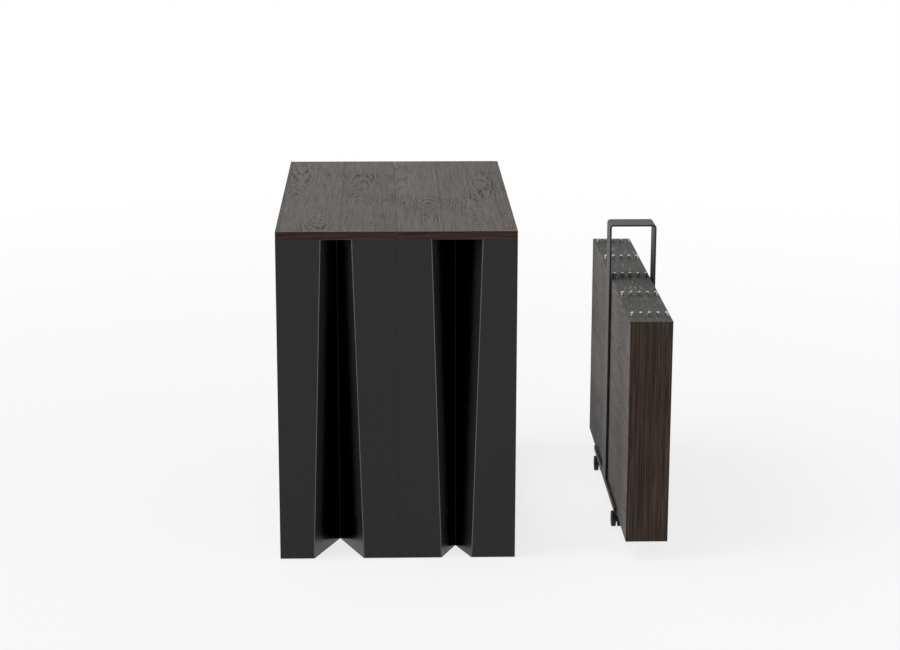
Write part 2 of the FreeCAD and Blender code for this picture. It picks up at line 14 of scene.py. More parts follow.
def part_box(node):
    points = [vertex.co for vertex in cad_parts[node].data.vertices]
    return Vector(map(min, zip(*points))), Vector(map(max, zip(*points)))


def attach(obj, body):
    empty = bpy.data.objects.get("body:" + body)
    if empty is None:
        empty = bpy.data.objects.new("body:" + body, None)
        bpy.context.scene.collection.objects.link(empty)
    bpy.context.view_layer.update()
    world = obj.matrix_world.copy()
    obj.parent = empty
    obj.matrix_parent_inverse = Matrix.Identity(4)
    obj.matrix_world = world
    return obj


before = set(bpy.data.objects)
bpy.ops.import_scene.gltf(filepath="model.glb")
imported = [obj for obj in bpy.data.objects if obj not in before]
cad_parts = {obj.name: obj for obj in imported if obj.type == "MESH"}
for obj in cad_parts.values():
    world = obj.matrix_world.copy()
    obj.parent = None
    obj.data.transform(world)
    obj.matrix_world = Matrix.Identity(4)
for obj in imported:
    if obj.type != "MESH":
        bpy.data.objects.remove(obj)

# Extending console table with pleated sheet legs, beside the carrier that stores its leaves.
# Metres, in the frame of the solids: X along the extension, Y from front to back, Z up.

LOG = logging.getLogger("console_table")
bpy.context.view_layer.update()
WHITE = (1.0, 1.0, 1.0)
SEEING_RAYS = ("Is Camera Ray", "Is Glossy Ray", "Is Transmission Ray")
SMOOTH = {"interpolation_type": "SMOOTHSTEP"}
METAL = {"Metallic": 1.0}
GLOSS = "Specular IOR Level"
ACROSS_LINES = 1100.0
ALONG_LINES = 9.0
# A Mix node's sockets for colours, by place because their names repeat: share, low, high and result.
MIX_INPUTS = (0, 6, 7)
MIX_RESULT = 2
SHARP_EDGE = math.radians(38.0)
LEVEL = math.radians(90.0)

Colour = tuple[float, float, float]
Place = tuple[float, float, float]
Span = tuple[float, float]


class Axis(Enum):
    """A direction of the frame, by its place in a vector."""

    X = 0
    Y = 1
    Z = 2

    def towards(self, sign: int) -> Vector:
        """The unit vector along the axis, forwards for one and backwards for minus one."""
        return Vector(sign * np.eye(3)[self.value])


class Hand(Enum):
    """A half of the table, by the sign of X on its side of the seam."""

    RIGHT = 1
    LEFT = -1


class Corner(Enum):
    """A corner of the carrier, by the first words of its caster's names."""

    FRONT_LEFT = "front_left"
    FRONT_RIGHT = "front_right"
    REAR_LEFT = "rear_left"
    REAR_RIGHT = "rear_right"


class Slot(Enum):
    """The record's material slots that have one finish on all their pieces and nodes."""

    BRACKET = "anthracite_bracket"
    PIN = "pin_steel"
    GLIDE = "nylon_glide"
    RAIL = "runner_aluminium"
    TIE = "tie_steel"
    CARRIER = "carrier_paint"
    TREAD = "caster_tread"
    HOUSING = "caster_housing"
    ZINC = "zinc_hardware"


def toned(colour: Colour, gain: float | Colour = 1.0, lift: float = 0.0) -> Colour:
    """A colour multiplied by a gain, alike or channel by channel, and raised by a lift."""
    return tuple((np.array(colour) * gain + lift).tolist())


def edge(node: str, axis: Axis, sign: int) -> float:
    """Where a node's box ends along an axis, at its high side for one and its low side for minus one."""
    low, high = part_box(node)
    return (high if sign > 0 else low)[axis.value]


def placed(name: str, data: bpy.types.ID) -> bpy.types.Object:
    """Put a new object of a mesh, light or camera into the scene."""
    thing = bpy.data.objects.new(name, data)
    bpy.context.scene.collection.objects.link(thing)
    return thing


def reckoned(operation: str, swapped: bool = False) -> Callable[..., "Field"]:
    """A method that does one operation of the Math node, with its field as second operand if swapped."""

    def method(self: "Field", *others: "Field | float") -> "Field":
        """The operation on the field and the other operand, if it has one."""
        operands = (*others, self) if swapped else (self, *others)
        return self.graph.math(operation, *operands)

    return method


class Field:
    """A value that varies over a surface: one node output with arithmetic on it."""

    __add__ = reckoned("ADD")
    __radd__ = reckoned("ADD", swapped=True)
    __sub__ = reckoned("SUBTRACT")
    __rsub__ = reckoned("SUBTRACT", swapped=True)
    __mul__ = reckoned("MULTIPLY")
    __rmul__ = reckoned("MULTIPLY", swapped=True)
    __truediv__ = reckoned("DIVIDE")
    __pow__ = reckoned("POWER")
    __abs__ = reckoned("ABSOLUTE")
    floor = reckoned("FLOOR")
    fraction = reckoned("FRACT")
    over = reckoned("GREATER_THAN")
    most = reckoned("MAXIMUM")

    def __init__(self, graph: "Graph", socket: bpy.types.NodeSocket) -> None:
        """Hold the output socket and the graph whose nodes it belongs to."""
        self.graph = graph
        self.socket = socket

    def swing(self, weight: float) -> "Field":
        """How far the value lies from one half, times a weight."""
        return (self - 0.5) * weight

    def rise(self, low: float, high: float) -> "Field":
        """A smooth step: zero up to the low value, one from the high value on."""
        sockets = {"Value": self, "From Min": low, "From Max": high}
        return self.graph.output("Result", "ShaderNodeMapRange", SMOOTH, sockets)


class Graph:
    """A node tree under construction, with its nodes written as expressions."""

    def __init__(self, owner: bpy.types.Material | bpy.types.World) -> None:
        """Start from an empty tree of a material or world."""
        owner.use_nodes = True
        self.tree = owner.node_tree
        self.tree.nodes.clear()

    def node(
        self,
        kind: str,
        settings: dict[str, Any] | None = None,
        sockets: dict[str | int, Any] | None = None,
    ) -> bpy.types.Node:
        """Add any node.

        Args:
            kind: The node's type.
            settings: Its properties, set before its sockets.
            sockets: Values or links for its inputs, by name or by place.

        Returns:
            The node.
        """
        node = self.tree.nodes.new(kind)
        for key, value in (settings or {}).items():
            setattr(node, key, value)
        for key, value in (sockets or {}).items():
            target = node.inputs[key]
            if isinstance(value, Field):
                self.tree.links.new(value.socket, target)
            elif isinstance(value, bpy.types.NodeSocket):
                self.tree.links.new(value, target)
            elif target.type == "RGBA":
                target.default_value = (*value, 1.0)
            else:
                target.default_value = value
        return node

    def output(self, name: str | int, kind: str, *inputs: dict[Any, Any]) -> Field:
        """One output of a new node of that kind, with its settings and then its sockets."""
        return Field(self, self.node(kind, *inputs).outputs[name])

    def math(self, operation: str, *values: Field | float) -> Field:
        """One Math node on its operands in order."""
        return self.output("Value", "ShaderNodeMath", {"operation": operation}, dict(enumerate(values)))

    def point(self, x: Field | float, y: Field | float, z: Field | float) -> Field:
        """Three values gathered into one vector."""
        return self.output("Vector", "ShaderNodeCombineXYZ", {}, {"X": x, "Y": y, "Z": z})

    def noise(self, where: Field, detail: float, blur: float) -> Field:
        """Fractal noise around one half; detail is its octaves and blur the weight of each finer one."""
        sockets = {"Vector": where, "Scale": 1.0, "Detail": detail, "Roughness": blur}
        return self.output(0, "ShaderNodeTexNoise", {}, sockets)

    def cells(self, where: Field) -> tuple[Field, Field]:
        """Scattered cell centres, about one in each unit.

        Args:
            where: The vector that they are read at.

        Returns:
            The distance to the nearest centre, and a random number of its cell.
        """
        node = self.node("ShaderNodeTexVoronoi", sockets={"Vector": where, "Scale": 1.0})
        split = self.node("ShaderNodeSeparateColor", sockets={"Color": node.outputs["Color"]})
        return Field(self, node.outputs["Distance"]), Field(self, split.outputs["Red"])

    def chance(self, seed: Field) -> Field:
        """A random number for each value of the seed."""
        return self.output("Value", "ShaderNodeTexWhiteNoise", {"noise_dimensions": "1D"}, {"W": seed})

    def seen(self) -> Field:
        """One for the kinds of ray that see the white of the room, else zero."""
        path = self.node("ShaderNodeLightPath")
        return reduce(Field.most, (Field(self, path.outputs[kind]) for kind in SEEING_RAYS))

    def mix(self, share: Field, low: Field | Colour, high: Field | Colour) -> Field:
        """Two colours blended: the first where the share is zero, the second where it is one."""
        sockets = dict(zip(MIX_INPUTS, (share, low, high)))
        return self.output(MIX_RESULT, "ShaderNodeMix", {"data_type": "RGBA"}, sockets)

    def relief(self, height: Field, strength: float, depth: float) -> Field:
        """The normal bumped by a share of a height, whose unit is the depth in metres."""
        sockets = {"Height": height, "Strength": strength, "Distance": depth}
        return self.output("Normal", "ShaderNodeBump", {}, sockets)

    def close(self, kind: str, surface: bpy.types.NodeSocket) -> None:
        """End the tree with an output node of that kind."""
        self.node(kind, sockets={"Surface": surface})


class Paint(Graph):
    """One material under construction, painted by the object's own coordinates."""

    def __init__(self, name: str) -> None:
        """Start an empty node material of that name."""
        self.material = bpy.data.materials.new(name)
        super().__init__(self.material)
        coordinates = self.node("ShaderNodeTexCoord")
        self.axes = self.parts(coordinates.outputs["Object"])
        self.facing = self.parts(coordinates.outputs["Normal"])

    def parts(self, vector: bpy.types.NodeSocket) -> list[Field]:
        """The parts of a vector along X, Y and Z."""
        split = self.node("ShaderNodeSeparateXYZ", sockets={"Vector": vector})
        return [Field(self, split.outputs[axis.name]) for axis in Axis]

    def finish(
        self, constants: dict[str, float], colour: Field, roughness: Field, normal: Field
    ) -> bpy.types.Material:
        """Close the material with its surface shader, whose constants are alike all over."""
        varying = {"Base Color": colour, "Roughness": roughness, "Normal": normal}
        shader = self.node("ShaderNodeBsdfPrincipled", sockets={**constants, **varying})
        self.close("ShaderNodeOutputMaterial", shader.outputs["BSDF"])
        return self.material


@dataclass(frozen=True)
class Grain:
    """Noise, or the random numbers of cells, that draws one kind of mark.

    U, v and w are its features in a metre along the three directions that it is read by. Span is where
    it rises from none of the mark to all of it; without one it is taken as it is. Shade, rough and
    height are the mark's weights in colour, roughness and relief.
    """

    u: float
    v: float
    detail: float = 3.0
    blur: float = 0.55
    w: float = 1.0
    cells: bool = False
    span: Span | None = None
    shade: float = 0.0
    rough: float = 0.0
    height: float = 0.0

    def read(self, u: Field, v: Field, w: Field | float) -> Field:
        """Read the mark at the stretched vector (u, v, w).

        Args:
            u: Place in metres along the first direction.
            v: Place in metres along the second direction.
            w: Place in metres along the third direction, or a seed.

        Returns:
            The mark.
        """
        where = u.graph.point(u * self.u, v * self.v, w * self.w)
        if self.cells:
            return u.graph.cells(where)[1]
        value = u.graph.noise(where, self.detail, self.blur)
        return value.rise(*self.span) if self.span else value


def speckle(scale: float, **marks: Any) -> Grain:
    """A grain that is not stretched, with its other values by name."""
    return Grain(scale, scale, w=scale, **marks)


# Marks of powder coat: peel of the film, clouds, grain.
SPRAYED = (
    speckle(420.0, detail=2.0),
    speckle(6.0, shade=0.5, rough=0.10),
    speckle(900.0, detail=2.0, shade=0.35, rough=0.06),
)
# Marks of bare metal beside its drawn lines: clouds, smut.
BARE = (
    speckle(70.0, shade=0.6),
    speckle(260.0, detail=2.0, span=(0.55, 0.80), shade=-0.2, rough=0.10),
)
# Marks of zinc plate: clouds, crystals.
PLATED = (
    speckle(120.0, shade=0.7, rough=0.12),
    speckle(420.0, cells=True, shade=0.4, rough=0.10),
)
# Marks of moulded polymer: spark-eroded grain, clouds, dust.
MOULDED = (
    speckle(900.0, detail=2.0),
    speckle(45.0, shade=0.2, rough=0.14),
    speckle(150.0, detail=4.0, span=(0.52, 0.78), shade=0.35, rough=0.10),
)


@dataclass(frozen=True)
class BoardPlace:
    """Where a board stands and which of its edges are banded.

    Along is always Y; across is the axis over its planks; through is its thickness. Banded side is the
    sign of the long edge that carries a band, or zero for none. Seed sets its grain apart, and tint is
    what the colours of its bands are multiplied by.
    """

    node: str
    across: Axis
    through: Axis
    banded_side: int
    seed: float
    tint: Colour = WHITE

    @property
    def centre(self) -> Vector:
        """The middle of the node's box."""
        low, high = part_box(self.node)
        return (low + high) / 2

    @property
    def half(self) -> Vector:
        """Half the size of the node's box."""
        low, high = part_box(self.node)
        return (high - low) / 2


@dataclass(frozen=True)
class PlankPoint:
    """The painted point of a board, with the material under construction.

    It lies across, along and through the board from its centre, and aside of its plank's middle. Run
    counts plank lengths along the board, and seed is the plank's own number.
    """

    paint: Paint
    board: BoardPlace
    across: Field
    along: Field
    through: Field
    aside: Field
    run: Field
    seed: Field


@dataclass(frozen=True)
class OakBoard:
    """Matt dark oak board with planked faces, banded edges, plain joint edges and painted arris highlights.

    Names in shade, rough, height and push are weights in colour, roughness, relief and ring radius;
    names in seed keep random draws apart.
    """

    light: Colour = (0.122, 0.110, 0.102)
    dark: Colour = (0.006, 0.005, 0.0045)
    band_light: Colour = (0.081, 0.0565, 0.0455)
    band_warm: Colour = (0.081, 0.0625, 0.0410)
    band_dark: Colour = (0.0150, 0.0090, 0.0070)
    joint: Colour = (0.055, 0.054, 0.051)
    fleck: Colour = (0.300, 0.290, 0.275)
    # Colour of the painted highlight along the eased front and rear arrises.
    arris_highlight: Colour = (0.170, 0.150, 0.135)
    base_shade: float = 0.82
    roughness: float = 0.66
    specular: float = 0.10
    relief: Span = (0.35, 0.00025)

    plank: float = 0.135
    plank_length: float = 0.64
    gap_from_edge: Span = (0.0024, 0.0002)
    butt_from_end: Span = (0.0032, 0.0006)
    gap_shade: float = 0.26
    tone_shade: float = 0.20
    plank_seed: float = 7.31
    run_seed: float = 2.93
    board_seed: float = 91.7
    shift_seed: float = 17.3
    sway_seed: float = 3.7
    tone_seed: float = 8.1

    heart_depth: float = 0.052
    heart_tilt: float = 0.16
    tilt_centre: float = 0.1
    heart_drift: float = 0.060
    heart_sway: float = 0.090
    ring_gap: float = 0.0043
    late_from: Span = (0.40, 0.86)
    late_to: Span = (0.90, 1.0)
    late_shade: float = 0.12
    late_height: float = 0.3
    knot_cells: Span = (4.6, 3.1)
    knot_pick: float = 0.80
    knot_reach: Span = (0.02, 0.09)
    knot_shade: float = 0.55
    swirl_reach: Span = (0.03, 0.30)
    swirl_push: float = 0.007
    wander_push: float = 0.012
    drift: Grain = Grain(1.0, 2.6, 1.0)
    wander: Grain = Grain(26.0, 7.0, 4.0, 0.6)
    patch: Grain = Grain(9.0, 3.2, 2.0, span=(0.42, 0.64), shade=0.76)
    broken: Grain = Grain(210.0, 30.0, 2.0, span=(0.30, 0.62))
    cloud: Grain = Grain(10.0, 2.5, shade=0.55, rough=0.14)
    fibre: Grain = Grain(620.0, 9.0, w=40.0, shade=0.36, height=0.5)
    strand: Grain = Grain(170.0, 6.0, blur=0.6, shade=1.05)
    pore: Grain = Grain(900.0, 30.0, 2.0, span=(0.58, 0.74), shade=0.26, rough=0.06, height=0.6)
    check: Grain = Grain(80.0, 14.0, span=(0.66, 0.74), shade=0.50, height=0.5)

    edge_depth: float = 0.0002
    # Width of the painted arris highlight.
    arris_highlight_width: float = 0.0009
    band_width: float = 0.0015
    band_polish: float = 0.10
    streak: Grain = Grain(7.0, 460.0, blur=0.7, shade=0.80)
    thread: Span = (0.36, 0.70)
    broad: Grain = Grain(3.0, 110.0, 2.0, span=(0.30, 0.72), shade=0.12)
    broad_seed: float = 4.0
    hue: Grain = Grain(2.0, 190.0, 2.0, span=(0.42, 0.58))
    hue_seed: float = 9.0
    chip: Grain = Grain(90.0, 32.0, w=400.0, span=(0.57, 0.69))
    chip_shift: float = 1.15625
    chipped: Grain = Grain(14.0, 120.0, span=(0.38, 0.58))

    def point(self, paint: Paint, board: BoardPlace) -> PlankPoint:
        """Find the plank that the painted point lies in.

        Planks of one width lie side by side, and each is cut to one length from a random start.

        Args:
            paint: The material under construction.
            board: Where the board stands.

        Returns:
            The point.
        """
        local = [axis - middle for axis, middle in zip(paint.axes, board.centre)]
        across = local[board.across.value]
        along = local[Axis.Y.value]
        number = ((across + board.seed) / self.plank).floor()
        middle = (number + 0.5) * self.plank - board.seed
        run = along / self.plank_length + paint.chance(number + board.seed * self.shift_seed)
        seed = number * self.plank_seed + run.floor() * self.run_seed + board.seed * self.board_seed
        through = local[board.through.value]
        return PlankPoint(paint, board, across, along, through, across - middle, run, seed)

    def rings(self, point: PlankPoint) -> tuple[Field, Field]:
        """Find the late wood of the year rings, and the knots.

        The face is a slice through a trunk in every plank: a point lies at a ring radius that is
        the root of its squared distance from the plank's middle plus the squared depth of the slice
        below the heart, and the depth drifts along the plank, so the rings open into arches.

        Args:
            point: The painted point.

        Returns:
            One in late wood, and one in knots.
        """
        paint = point.paint
        luck = paint.chance(point.seed)
        sway = paint.chance(point.seed + self.sway_seed)
        drift = self.drift.read(point.seed, point.along, 0.0)
        tilt = luck.swing(self.heart_tilt) * (point.along + self.tilt_centre)
        depth = self.heart_depth + tilt + drift.swing(self.heart_drift)
        aside = point.aside + sway.swing(self.heart_sway)

        u, v = self.knot_cells
        away, pick = paint.cells(paint.point(point.across * u, point.along * v, point.board.seed))
        rare = pick.over(self.knot_pick)
        knot = (1.0 - away.rise(*self.knot_reach)) * rare
        swirl = (1.0 - away.rise(*self.swirl_reach)) * rare
        wander = self.wander.read(point.across, point.along, point.seed)
        radius = (aside * aside + depth * depth) ** 0.5
        radius = radius + wander.swing(self.wander_push) + swirl * self.swirl_push
        ring = (radius / self.ring_gap).fraction()
        return ring.rise(*self.late_from) * (1.0 - ring.rise(*self.late_to)), knot

    def figure(self, point: PlankPoint) -> tuple[Field, Field, Field]:
        """Draw the planked face.

        The shade is a base with the plank's tone, clouds, fibres and strands about it, less the broken
        late wood, pores, checks and knots and less the joints round each plank.

        Args:
            point: The painted point.

        Returns:
            The face's colour, its relief, and its change of roughness.
        """
        late, knot = self.rings(point)
        tone = point.paint.chance(point.seed + self.tone_seed)
        patch, broken, cloud, strand, pore, check = (
            grain.read(point.across, point.along, point.seed)
            for grain in (self.patch, self.broken, self.cloud, self.strand, self.pore, self.check)
        )
        fibre = self.fibre.read(point.across, point.along, point.through)
        gap = abs(point.aside).rise(*(self.plank / 2 - inset for inset in self.gap_from_edge))
        butt = abs(point.run.fraction() - 0.5).rise(*(0.5 - inset for inset in self.butt_from_end))
        shade = (
            self.base_shade
            + tone.swing(self.tone_shade)
            + cloud.swing(self.cloud.shade)
            + fibre.swing(self.fibre.shade)
            + strand.swing(self.strand.shade)
            - late * broken * (self.late_shade + patch * self.patch.shade)
            - pore * self.pore.shade
            - check * self.check.shade
            - knot * self.knot_shade
            - gap.most(butt) * self.gap_shade
        )
        height = (
            fibre * self.fibre.height
            - late * self.late_height
            - pore * self.pore.height
            - check * self.check.height
        )
        gloss = cloud.swing(self.cloud.rough) + pore * self.pore.rough
        return point.paint.mix(shade, self.dark, self.light), height, gloss

    def band(self, point: PlankPoint) -> tuple[Field, Field]:
        """Draw the edge band, whose threads run along the edge and change over its thickness.

        Args:
            point: The painted point.

        Returns:
            The band's colour, and its streaks as a height.
        """
        seed = point.board.seed
        length = point.across + point.along
        streak = self.streak.read(length, point.through, seed)
        broad = self.broad.read(length, point.through, seed + self.broad_seed)
        hue = self.hue.read(length, point.through, seed + self.hue_seed)
        thread = streak.rise(*self.thread) * self.streak.shade + broad * self.broad.shade
        light, warm, dark = (
            toned(colour, point.board.tint)
            for colour in (self.band_light, self.band_warm, self.band_dark)
        )
        return point.paint.mix(thread, dark, point.paint.mix(hue, light, warm)), streak

    def joint_edge(self, point: PlankPoint) -> Field:
        """The colour of a plain joint edge, with flecks where its sawn face has chipped."""
        shifted = point.along + point.board.seed * self.chip_shift
        chip = self.chip.read(point.across, shifted, point.through)
        chipped = self.chipped.read(point.along, point.through, point.board.seed)
        return point.paint.mix(chip * chipped, self.joint, self.fleck)

    def paint(self, name: str, board: BoardPlace) -> bpy.types.Material:
        """Make the material of one board, by where it stands."""
        paint = Paint(name)
        point = self.point(paint, board)
        face, height, gloss = self.figure(point)
        band, streak = self.band(point)
        joint = self.joint_edge(point)

        end = board.half[Axis.Y.value] - self.edge_depth
        side = board.half[board.across.value] - self.edge_depth
        ends = abs(point.along).over(end)
        if board.banded_side:
            outward = point.across * board.banded_side
            banded = ends.most(outward.over(side))
            bare = (point.across * -board.banded_side).over(side)
            face = paint.mix(outward.over(side - self.band_width), face, band)
        else:
            banded = ends
            bare = abs(point.across).over(side)
        # Painted highlight: a lighter strip just inside the front and rear ends of the face, where an eased
        # arris catches light.
        eased_highlight = abs(point.along).over(end - self.arris_highlight_width) * (1.0 - ends)
        face = paint.mix(eased_highlight, face, self.arris_highlight)
        colour = paint.mix(bare, paint.mix(banded, face, band), joint)
        roughness = self.roughness + gloss - banded * self.band_polish
        height = height * (1.0 - banded.most(bare)) + streak * banded
        normal = paint.relief(height, *self.relief)
        return paint.finish({GLOSS: self.specular}, colour, roughness, normal)


@dataclass(frozen=True)
class Finish:
    """A finish that goes from a dark to a light colour.

    Shade is its mean share of the light one. Each mark swings shade and roughness about their means by
    its weights, and the first mark is the height of the relief too. Constants are set on the shader.
    """

    dark: Colour
    light: Colour
    roughness: float
    constants: dict[str, float]
    marks: tuple[Grain, ...]
    shade: float
    relief: Span

    def ground(self, paint: Paint) -> tuple[Field, Field, list[Field]]:
        """Draw the marks on the two colours.

        Args:
            paint: The material under construction.

        Returns:
            Colour, roughness and the marks.
        """
        marks = [grain.read(*paint.axes) for grain in self.marks]
        shade = self.shade
        roughness = self.roughness
        for grain, mark in zip(self.marks, marks):
            shade = shade + mark.swing(grain.shade)
            roughness = roughness + mark.swing(grain.rough)
        return paint.mix(shade, self.dark, self.light), roughness, marks

    def paint(self, name: str) -> bpy.types.Material:
        """Make the material of that name."""
        paint = Paint(name)
        colour, roughness, marks = self.ground(paint)
        return paint.finish(self.constants, colour, roughness, paint.relief(marks[0], *self.relief))


@dataclass(frozen=True)
class SheetPlace:
    """Which way a pleated sheet's flat strips face: an axis and the side of it, one or minus one."""

    node: str
    facing: Axis
    sign: int


@dataclass(frozen=True)
class PowderCoat(Finish):
    """Satin powder coat on sheet steel, scuffed at its foot, with painted light and shade on folds and
    pleats.
    """

    scuff: Grain = Grain(140.0, 140.0, w=30.0, span=(0.64, 0.76), shade=0.10, rough=0.08)
    scuff_height: Span = (0.004, 0.060)
    worn_lift: float = 0.02
    # Painted highlight on the outer folds: its colour, its reach from the outer plane, and a fixed and a
    # cloudy share.
    fold_highlight: Colour = (0.112, 0.112, 0.112)
    fold_depth: Span = (0.004, 0.006)
    fold_highlight_share: Span = (0.55, 0.9)
    least_facing: float = 0.001
    turn_from: Span = (0.06, 0.16)
    turn_to: Span = (0.76, 0.94)
    # Painted light in the mouth of each pleat, just inside the outer folds.
    mouth_light: Colour = (0.0170, 0.0170, 0.0170)
    mouth_depth: Span = (0.001, 0.004)
    # Painted shade deep in each pleat: its near-black colour, the depths it grows over, and its share.
    pleat_shade: Colour = (0.0006, 0.0006, 0.0006)
    pleat_depth: Span = (0.022, 0.060)
    pleat_share: float = 0.85
    pleat_polish: float = 0.12
    inner_turn: Span = (0.3, 0.9)
    inner_rough: float = 0.45

    @classmethod
    def of(cls, colour: Colour, roughness: float, specular: float) -> "PowderCoat":
        """Powder coat between a dull and a pale tone of its colour."""
        tones = (toned(colour, gain=0.72), toned(colour, gain=1.9, lift=0.001))
        return cls(*tones, roughness, {GLOSS: specular}, SPRAYED, shade=0.25, relief=(0.10, 0.0003))

    def folds(self, paint: Paint, sheet: SheetPlace) -> tuple[Field, Field, Field, Field]:
        """Find the outer folds of a pleated sheet, and the mouth, depth and inner fold of its pleats.

        A fold lies where the surface turns from the flat strip to the flank of a pleat, so the ratio
        of its normal's side part to its facing part is between zero and one, close to the outer plane.

        Args:
            paint: The material under construction.
            sheet: Which way the sheet faces.

        Returns:
            One on the outer folds, one in the mouth of a pleat, a share that grows inwards, and one on
            the inner folds.
        """
        side = Axis.X if sheet.facing is Axis.Y else Axis.Y
        depth = abs(paint.axes[sheet.facing.value] - edge(sheet.node, sheet.facing, sheet.sign))
        facing = abs(paint.facing[sheet.facing.value]) + self.least_facing
        flank = abs(paint.facing[side.value]) / facing
        turning = flank.rise(*self.turn_from) * (1.0 - flank.rise(*self.turn_to))
        outer = 1.0 - depth.rise(*self.fold_depth)
        inside = depth.rise(*self.pleat_depth)
        mouth_light = depth.rise(*self.mouth_depth) * (1.0 - inside)
        return turning * outer, mouth_light, inside, inside * (1.0 - flank.rise(*self.inner_turn))

    def paint(self, name: str, sheet: SheetPlace | None = None) -> bpy.types.Material:
        """Make the material.

        Args:
            name: The material's name.
            sheet: Which way a pleated sheet faces, or none for a plain piece.

        Returns:
            The material.
        """
        paint = Paint(name)
        colour, roughness, (film, cloud, _) = self.ground(paint)
        height = paint.axes[Axis.Z.value]
        foot = (1.0 - height.rise(*self.scuff_height)) * self.scuff.read(*paint.axes)
        colour = paint.mix(foot * self.scuff.shade, colour, toned(self.light, lift=self.worn_lift))
        roughness = roughness + foot * self.scuff.rough
        if sheet:
            fold_highlight, mouth_light, inside, inner = self.folds(paint, sheet)
            highlight_base, cloudy = self.fold_highlight_share
            # Painted light: the flanks in the mouth of each pleat are lighter than the flat strips.
            colour = paint.mix(mouth_light, colour, self.mouth_light)
            # Painted highlight along the outer folds, stronger where the clouds are pale.
            colour = paint.mix(fold_highlight * (highlight_base + cloud * cloudy), colour, self.fold_highlight)
            # Painted shade: near black deep inside each pleat.
            colour = paint.mix(inside * self.pleat_share, colour, self.pleat_shade)
            roughness = roughness - inside * self.pleat_polish + inner * self.inner_rough
        return paint.finish(self.constants, colour, roughness, paint.relief(film, *self.relief))


def metal(dark: Colour, light: Colour, roughness: float, x: float, y: float) -> Finish:
    """Bare metal with fine drawn lines, which have so many features in a metre of X and of Y."""
    line = Grain(x, y, detail=2.0, w=ACROSS_LINES, shade=0.55, rough=0.16)
    return Finish(dark, light, roughness, METAL, (line, *BARE), shade=0.625, relief=(0.12, 0.0001))


def moulding(colour: Colour, roughness: float) -> Finish:
    """Moulded polymer between its clean colour and a dusty tone of it."""
    dusty = toned(colour, gain=1.6, lift=0.012)
    return Finish(colour, dusty, roughness, {GLOSS: 0.24}, MOULDED, shade=0.175, relief=(0.18, 0.0002))


FINISHES: dict[Slot, Finish] = {
    Slot.BRACKET: PowderCoat.of((0.0060, 0.0060, 0.0064), roughness=0.45, specular=0.40),
    Slot.CARRIER: PowderCoat.of((0.0150, 0.0150, 0.0148), roughness=0.52, specular=0.25),
    Slot.TIE: PowderCoat.of((0.0120, 0.0120, 0.0120), roughness=0.42, specular=0.40),
    Slot.PIN: metal((0.17, 0.17, 0.165), (0.46, 0.45, 0.43), 0.27, x=ACROSS_LINES, y=ALONG_LINES),
    Slot.RAIL: metal((0.46, 0.46, 0.47), (0.68, 0.68, 0.69), 0.39, x=ALONG_LINES, y=ACROSS_LINES),
    Slot.ZINC: Finish(
        dark=(0.36, 0.36, 0.37),
        light=(0.56, 0.56, 0.55),
        roughness=0.36,
        constants=METAL,
        marks=PLATED,
        shade=0.5,
        relief=(0.06, 0.0001),
    ),
    Slot.GLIDE: moulding((0.012, 0.012, 0.012), roughness=0.55),
    Slot.HOUSING: moulding((0.0055, 0.0055, 0.0060), roughness=0.45),
    Slot.TREAD: moulding((0.0080, 0.0080, 0.0086), roughness=0.63),
}


class Wardrobe:
    """The finishes of the whole object: boards and sheets by their place, the rest by slot."""

    oak: OakBoard = OakBoard()
    sheet: PowderCoat = PowderCoat.of((0.0048, 0.0048, 0.0050), roughness=0.30, specular=0.33)

    def __init__(self) -> None:
        """Make the material of every slot."""
        self.of = {slot: finish.paint(slot.value) for slot, finish in FINISHES.items()}

    def dress(self, node: str, material: bpy.types.Material) -> None:
        """Give a node of the solids its material, in all its slots."""
        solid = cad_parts[node]
        if not solid.material_slots:
            solid.data.materials.append(material)
        for place in solid.material_slots:
            place.material = material
        LOG.info("dressed %s in %s", node, material.name)

    def give(self, slot: Slot, *nodes: str) -> None:
        """Dress nodes in the finish of a slot."""
        for node in nodes:
            self.dress(node, self.of[slot])


